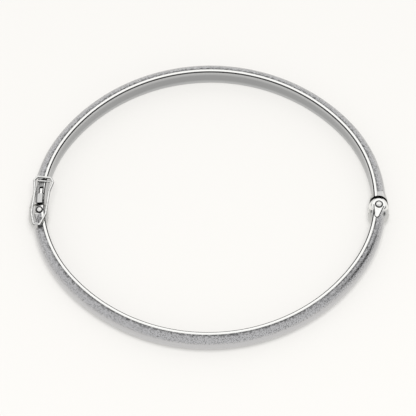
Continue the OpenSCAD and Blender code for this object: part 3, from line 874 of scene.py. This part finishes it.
def loop_lug(plan):
    """Lug that the loop turns in, with its hole."""
    half, r = plan.lug_w / 2, plan.lug_r
    foot = plan.mid_z - plan.loop_z
    outline = [(r * math.cos(t), r * math.sin(t)) for t in even(0, math.pi, 32)]
    outline += [(-r, foot), (r, foot)]
    lug = slab("lug", outline, -half, half, WORN, plan.pivot @ UPRIGHT)
    hole = rod("lug_hole", plan.wire_r + plan.pivot_gap, -2 * half, 2 * half, INSIDE,
               plan.pivot @ Matrix.Rotation(math.pi / 2, 4, "Y"))
    return cut(lug, hole)


def make_front_half(plan):
    top, ear, ease = plan.band_w, plan.ear_h, 0.35
    half = band_ring(plan)
    join(half, end_block(plan, -1, plan.block_front, plan.gap_front, GROUND),
         clasp_swelling(plan), hinge_swelling(plan))
    # the seam round the plate that the upper ear is soldered on with
    seam_w, seam_deep = 0.13, 0.3
    cut(half, ear_plate(plan, top - seam_deep, top + PAST, seam_w, INSIDE))
    join(half, ear_plate(plan, 0, top))
    keep(half, half_space(plan, -1, plan.gap_front, plan.pin_y))
    cut(half, knuckle(plan, plan.hinge_gap, ear, plan.ear_top, INSIDE))
    join(half, knuckle(plan, 0, 0, ear, ease=ease), knuckle(plan, 0, plan.ear_top, top, ease=ease),
         loop_lug(plan))
    # the groove that is left along the plate's flanks
    groove_w, groove_deep = 0.16, 0.2
    groove = ear_plate(plan, top - groove_deep, top + PAST, groove_w, INSIDE)
    cut(half, cut(groove, ear_plate(plan, 0, top + 2 * PAST)))
    cut(half, bore(plan.pin_place, plan.pin_r + plan.pin_fit, -PAST, top + PAST),
        head_ring(plan, plan.pin_place, plan.pin_head_r),
        head_ring(plan, plan.rivet_place, plan.rivet_head_r))
    # seat of the tongue's root, and the rivet's hole with its countersink
    seat, head, stem = plan.seat_gap, plan.rivet_head_r, plan.rivet_r
    side = plan.strip_w / 2 + seat
    sink = turned("countersink", [(0, -PAST), (head + PAST, -PAST), (stem, head - stem),
                                  (0, head - stem)], INSIDE, plan.rivet_place, HOLE)
    cut(half,
        arc_stretch(plan, -side, side, plan.gap_front - plan.root_len - seat, plan.gap_front + PAST,
                    plan.leaf_low - seat, plan.leaf_low + plan.strip_t + seat),
        bore(plan.rivet_place, stem + seat, -PAST, top + PAST), sink)
    return finished(half, "front_half_dressed", "front", "satin_silver", "front_half")


# Small pieces


def dome_profile(radius, height, base_z, steps=20):
    """Outer points of a domed head, from its edge to its top."""
    ball = (radius ** 2 + height ** 2) / (2 * height)
    return [(math.sqrt(max(ball ** 2 - (ball - height + rise) ** 2, 0)), base_z + rise)
            for rise in even(0, height, steps)[:-1]] + [(0, base_z + height)]


def make_hinge_pin(plan):
    fit, r, tip = plan.pin_fit, plan.pin_r, 0.05
    head_z = plan.band_w + fit / 2
    profile = [(0, fit), (r - tip, fit), (r, fit + tip), (r, head_z)]
    profile += dome_profile(plan.pin_head_r, plan.pin_head_h, head_z)
    pin = turned("hinge_pin", profile, FITTED, plan.pin_place)
    # painted shade: the head's sloping edge gets the dark filed finish
    axis, edge = plan.pin_place.translation.xy, 0.8 * plan.pin_head_r
    refinish(pin, INSIDE, lambda face: (face.center.xy - axis).length > edge)
    return finished(pin, "hinge_pin_dressed", "front", "polished_silver", "hinge_pin")


def make_tongue_rivet(plan):
    seat, head, r = plan.seat_gap, plan.rivet_head_r, plan.rivet_r
    head_z = plan.band_w + seat
    profile = [(0, seat), (head - 2 * seat, seat), (r, head - r - seat), (r, head_z)]
    profile += dome_profile(head, plan.rivet_head_h, head_z)
    rivet = turned("tongue_rivet", profile, FITTED, plan.rivet_place)
    # painted shade: the head's sloping edge gets the dark filed finish
    axis, edge = plan.rivet_place.translation.xy, 0.75 * head
    refinish(rivet, INSIDE, lambda face: (face.center.xy - axis).length > edge)
    return finished(rivet, "tongue_rivet_dressed", "front", "polished_silver", "tongue_rivet")


def make_tongue(plan):
    """Spring strip folded back on itself, with the thumb block on its upper leaf."""
    t, low, fold_y, reach = plan.strip_t, plan.leaf_low, plan.fold_y, plan.fold_r
    thumb_back, thumb_front = plan.thumb_back, plan.thumb_front
    fold_z, inner = low + reach, plan.fold_gap / 2
    upper = fold_z + inner
    start = plan.gap_front - plan.root_len
    # the neck falls slowly for most of its length, and then steeply into the fold
    neck_z, slow, fall = plan.band_w - t, 0.65, 0.05
    outline = [(start, low), (fold_y, low)]
    outline += [(fold_y + reach * math.cos(a), fold_z + reach * math.sin(a))
                for a in even(-math.pi / 2, math.pi / 2, 24)[1:-1]]
    outline += [(fold_y, upper + t), ((1 - slow) * thumb_back + slow * fold_y, neck_z - fall),
                (thumb_back, neck_z), (thumb_back, plan.thumb_top), (thumb_front, plan.thumb_top),
                (thumb_front, plan.thumb_low), (thumb_back - t, plan.thumb_low), (fold_y, upper)]
    outline += [(fold_y + inner * math.cos(a), fold_z + inner * math.sin(a))
                for a in even(math.pi / 2, -math.pi / 2, 12)[1:-1]]
    outline += [(fold_y, low + t), (start, low + t)]
    wide, far = 4, 1
    strip = slab("tongue", outline, plan.tongue_x - wide, plan.tongue_x + wide, FITTED, UPRIGHT)
    refinish(strip, WORN, lambda face: face.center.z > plan.thumb_top - 0.01)
    side = plan.strip_w / 2
    keep(strip, arc_stretch(plan, -side, side, start - far, fold_y + far, low - far,
                            plan.thumb_top + far, FITTED))
    neck = -side + plan.neck_out
    for inside, outside in ((-side - PAST, neck), (neck + plan.neck_w, side + PAST)):
        cut(strip, arc_stretch(plan, inside, outside, thumb_back, fold_y - reach,
                               low + t + inner, plan.band_w + PAST, FITTED))
    cut(strip, bore(plan.rivet_place, plan.rivet_r + plan.seat_gap, 0, plan.band_w))
    return finished(strip, "tongue_dressed", "front", "polished_silver", "tongue")


def wire_tree():
    """Round wire along a closed line of corners, each rounded by its point radius."""
    tree, given, result = new_tree("bent_wire", {
        "Wire radius": "Float", "Round steps": "Int", "Bend steps": "Int", "Metal": "Material"})
    bent = add(tree, "GeometryNodeFilletCurve", {"mode": "POLY"}, {
        "Curve": given.outputs["Geometry"], "Count": given.outputs["Bend steps"],
        "Radius": add(tree, "GeometryNodeInputRadius")})
    even_wire = add(tree, "GeometryNodeSetCurveRadius", None, {"Curve": bent, "Radius": 1.0})
    ring = add(tree, "GeometryNodeCurvePrimitiveCircle", {"mode": "RADIUS"}, {
        "Resolution": given.outputs["Round steps"], "Radius": given.outputs["Wire radius"]})
    mesh = add(tree, "GeometryNodeCurveToMesh", None, {"Curve": even_wire, "Profile Curve": ring})
    painted = add(tree, "GeometryNodeSetMaterial", None, {
        "Geometry": mesh, "Material": given.outputs["Metal"]})
    real = add(tree, "GeometryNodeRealizeInstances", None, {"Geometry": painted})
    tree.links.new(real.outputs[0], result.inputs[0])
    return tree


def make_safety_loop(plan):
    d = plan.wire_d
    # half width, distance from the pivot and radius of each bend
    half = [(plan.loop_tip, 0, 0.6 * d), (plan.loop_side, plan.loop_taper, 4 * d),
            (plan.loop_side, plan.loop_neck, 4 * d), (plan.loop_head, plan.loop_wide, 1.5 * d),
            (plan.loop_bar, plan.loop_len, d)]
    corners = half + [(-x, y, r) for x, y, r in reversed(half)]
    line = closed_line("loop_line", [plan.pivot @ Vector((x, y, 0)) for x, y, _ in corners],
                       [r for _, _, r in corners])
    wire = grow(line, wire_tree(), {
        "Wire radius": plan.wire_r, "Round steps": 32, "Bend steps": 14,
        "Metal": MATERIALS["fitted"]})
    face_outwards(wire.data)
    return finished(wire, "safety_loop_dressed", "loop", "polished_silver", "safety_loop", sharp=60)


# Stage


def soft_zone(tree, direction, towards, inner, outer, strength):
    """Bright or dark round zone of the studio, seen only in reflections and soft light."""
    aim = Vector(towards).normalized()
    dot = add(tree, "ShaderNodeVectorMath", {"operation": "DOT_PRODUCT"}, {0: direction, 1: aim})
    return add(tree, "ShaderNodeMapRange", SMOOTH, {
        "Value": dot.outputs["Value"], "From Min": math.cos(math.radians(outer)),
        "From Max": math.cos(math.radians(inner)), "To Max": strength})


def make_studio_world():
    """White tent, greyer in front, with a softbox behind and dark openings low at the sides."""
    world = bpy.data.worlds.new("studio")
    bpy.context.scene.world = world
    world.use_nodes = True
    tree = world.node_tree
    tree.nodes.clear()
    direction = add(tree, "ShaderNodeTexCoord").outputs["Generated"]
    depth_way = add(tree, "ShaderNodeSeparateXYZ", None, {0: direction}).outputs["Y"]
    level = add(tree, "ShaderNodeMapRange", SMOOTH, {
        "Value": depth_way, "From Min": -0.1, "From Max": 0.4, "To Min": 0.87, "To Max": 1.0})
    # direction of a dark opening, angles from it at which it is whole and gone, and its darkness
    for towards, inner, outer, dark in (((0.91, 0.03, 0.39), 8, 13, 1.0),
                                        ((0.85, -0.16, 0.49), 9, 14, 1.0),
                                        ((-0.883, 0.469, 0.05), 10, 16, 0.9)):
        zone = soft_zone(tree, direction, towards, inner, outer, dark)
        left = add(tree, "ShaderNodeMath", {"operation": "SUBTRACT"}, {0: 1.0, 1: zone})
        level = add(tree, "ShaderNodeMath", {"operation": "MULTIPLY"}, {0: level, 1: left})
    softbox = soft_zone(tree, direction, (0.03, 0.47, 0.883), 10, 14, 0.2)
    level = add(tree, "ShaderNodeMath", {"operation": "ADD"}, {0: level, 1: softbox})
    glow = add(tree, "ShaderNodeBackground", None, {"Color": (1, 0.996, 0.99, 1), "Strength": level})
    add(tree, "ShaderNodeOutputWorld", None, {"Surface": glow})


def make_floor(colours):
    """Light table: opal white acrylic, cast and matt, that glows evenly from below."""
    size, cloud = 1.5, 1.5 * MM
    mesh = bpy.data.meshes.new("table")
    mesh.from_pydata([(-size, -size, 0), (size, -size, 0), (size, size, 0), (-size, size, 0)], [],
                     [(0, 1, 2, 3)])
    material, tree, coords = new_material("opal_white_acrylic")
    colour = (*colours.floor, 1)
    fibre = add(tree, "ShaderNodeTexNoise", None, {
        "Vector": coords.outputs["Object"], "Scale": 1 / cloud})
    bump = add(tree, "ShaderNodeBump", None, {
        "Strength": 0.05, "Distance": 0.01 * MM, "Height": fibre})
    shader = add(tree, "ShaderNodeBsdfPrincipled", None, {
        "Base Color": colour, "Roughness": 0.9, "Specular IOR Level": 0.0, "Normal": bump,
        "Emission Color": colour, "Emission Strength": 1.3})
    add(tree, "ShaderNodeOutputMaterial", None, {"Surface": shader})
    mesh.materials.append(material)
    shown("table", mesh)


def make_key_light():
    """Softbox above the front. It lights the table and isn't mirrored in the metal."""
    light = bpy.data.lights.new("key", "AREA")
    light.shape = "DISK"
    light.size = 0.34
    light.energy = 5.7
    lamp = shown("key", light)
    lamp.location = (0.02, -0.15, 0.69)
    lamp.rotation_euler = (-lamp.location).to_track_quat("-Z", "Y").to_euler()
    lamp.visible_glossy = False


def make_camera():
    """Camera a good arm's length away and about 62 degrees above the table."""
    elevation, azimuth, distance = math.radians(62.35), math.radians(-2.99), 0.400
    # size of the bangle in the frame, and where its middle lies from the frame's, in pixels
    per_mm, frame_w, above, beside = 5.4711, 416, 5.043, 1.11
    ahead = Vector((-math.sin(azimuth), math.cos(azimuth), 0))
    right = Vector((math.cos(azimuth), math.sin(azimuth), 0))
    back = Vector((0, 0, math.sin(elevation))) - ahead * math.cos(elevation)
    up = right.cross(-back).normalized()
    aim = Vector((0, 0, 0.002)) - up * (above / per_mm * MM) - right * (beside / per_mm * MM)
    data = bpy.data.cameras.new("camera")
    data.lens = per_mm * distance / MM * data.sensor_width / frame_w
    data.clip_start, data.clip_end = 0.01, 20
    camera = shown("camera", data)
    camera.location = aim + back * distance
    camera.rotation_euler = Matrix((right, up, back)).transposed().to_euler()
    bpy.context.scene.camera = camera


# Operators


class BANGLE_OT_finishes(bpy.types.Operator):
    """Makes the metal finishes"""

    bl_idname = "bangle.finishes"
    bl_label = "Metal Finishes"

    def execute(self, context):
        colours = context.scene.bangle_finish
        plan = Plan(context.scene)
        # sanded round the crown: soft grey gloss, dirty beside the rims
        MATERIALS["satin"] = sanded_silver(
            "sanded_sterling_silver", colours, colours.satin, (0.13, 0.2), plan.mid_z * MM)
        # ground flat: a darker and duller grey
        MATERIALS["ground"] = sanded_silver(
            "ground_sterling_silver", colours, colours.ground, (0.42, 0.5))
        # buffed on the wheel: near mirror
        MATERIALS["polished"] = polished_silver(
            "polished_sterling_silver", colours.polished, (0.1, 0.18))
        # buffed and then rubbed by wear: greyer, with soft reflections
        MATERIALS["worn"] = polished_silver("worn_sterling_silver", colours.worn, (0.2, 0.3))
        # buffed, with painted shade across its middle: darker there, with sharp reflections
        MATERIALS["inner"] = polished_silver(
            "wrist_side_sterling_silver", colours.inner, (0.08, 0.14), colours.inner_unshaded_edge,
            plan.mid_z * MM)
        # fittings: polished colour on top and bottom, painted shade on their sides
        MATERIALS["fitted"] = fitted_silver(colours)
        # filed: tarnish, with painted shade in slots, gaps and grooves and a painted dark reflection on
        # the bevels
        MATERIALS["inside"] = filed_silver(colours)
        return {"FINISHED"}


class BANGLE_OT_halves(bpy.types.Operator):
    """Builds the two halves of the band with their square ends, swellings, knuckles and lug"""

    bl_idname = "bangle.halves"
    bl_label = "Band Halves"

    def execute(self, context):
        plan = Plan(context.scene)
        make_back_half(plan)
        make_front_half(plan)
        return {"FINISHED"}


class BANGLE_OT_pins(bpy.types.Operator):
    """Builds the hinge pin and the tongue's rivet"""

    bl_idname = "bangle.pins"
    bl_label = "Pin and Rivet"

    def execute(self, context):
        plan = Plan(context.scene)
        make_hinge_pin(plan)
        make_tongue_rivet(plan)
        return {"FINISHED"}


class BANGLE_OT_tongue(bpy.types.Operator):
    """Builds the folded spring tongue with its thumb block"""

    bl_idname = "bangle.tongue"
    bl_label = "Tongue"

    def execute(self, context):
        make_tongue(Plan(context.scene))
        return {"FINISHED"}


class BANGLE_OT_loop(bpy.types.Operator):
    """Bends the wire safety loop over the clasp"""

    bl_idname = "bangle.loop"
    bl_label = "Safety Loop"

    def execute(self, context):
        make_safety_loop(Plan(context.scene))
        return {"FINISHED"}


class BANGLE_OT_stage(bpy.types.Operator):
    """Sets up the table, the soft light and the camera"""

    bl_idname = "bangle.stage"
    bl_label = "Studio"

    def execute(self, context):
        make_studio_world()
        make_floor(context.scene.bangle_finish)
        make_key_light()
        make_camera()
        context.scene.view_settings.view_transform = "Standard"
        return {"FINISHED"}


OPERATORS = (BANGLE_OT_finishes, BANGLE_OT_halves, BANGLE_OT_pins, BANGLE_OT_tongue, BANGLE_OT_loop,
             BANGLE_OT_stage)
GROUPS = {"bangle_band": BandSizes, "bangle_hinge": HingeSizes, "bangle_clasp": ClaspSizes,
          "bangle_tongue": TongueSizes, "bangle_loop": LoopSizes, "bangle_finish": FinishColours}


class BANGLE_PT_panel(bpy.types.Panel):
    """Sidebar panel with the bangle's sizes and steps"""

    bl_idname = "BANGLE_PT_panel"
    bl_label = "Hinged Bangle"
    bl_space_type = "VIEW_3D"
    bl_region_type = "UI"
    bl_category = "Bangle"

    def draw(self, context):
        for name in GROUPS:
            group = getattr(context.scene, name)
            box = self.layout.box()
            for key in group.bl_rna.properties.keys():
                if key not in ("name", "rna_type"):
                    box.prop(group, key)
        for operator in OPERATORS:
            self.layout.operator(operator.bl_idname)


def register():
    for cls in (*GROUPS.values(), *OPERATORS, BANGLE_PT_panel):
        bpy.utils.register_class(cls)
    for name, cls in GROUPS.items():
        setattr(bpy.types.Scene, name, PointerProperty(type=cls))


def unregister():
    for name in GROUPS:
        delattr(bpy.types.Scene, name)
    for cls in reversed((*GROUPS.values(), *OPERATORS, BANGLE_PT_panel)):
        bpy.utils.unregister_class(cls)


def main():
    """Builds everything."""
    register()
    bpy.ops.bangle.finishes()
    bpy.ops.bangle.halves()
    bpy.ops.bangle.pins()
    bpy.ops.bangle.tongue()
    bpy.ops.bangle.loop()
    bpy.ops.bangle.stage()


if __name__ == "__main__":
    main()
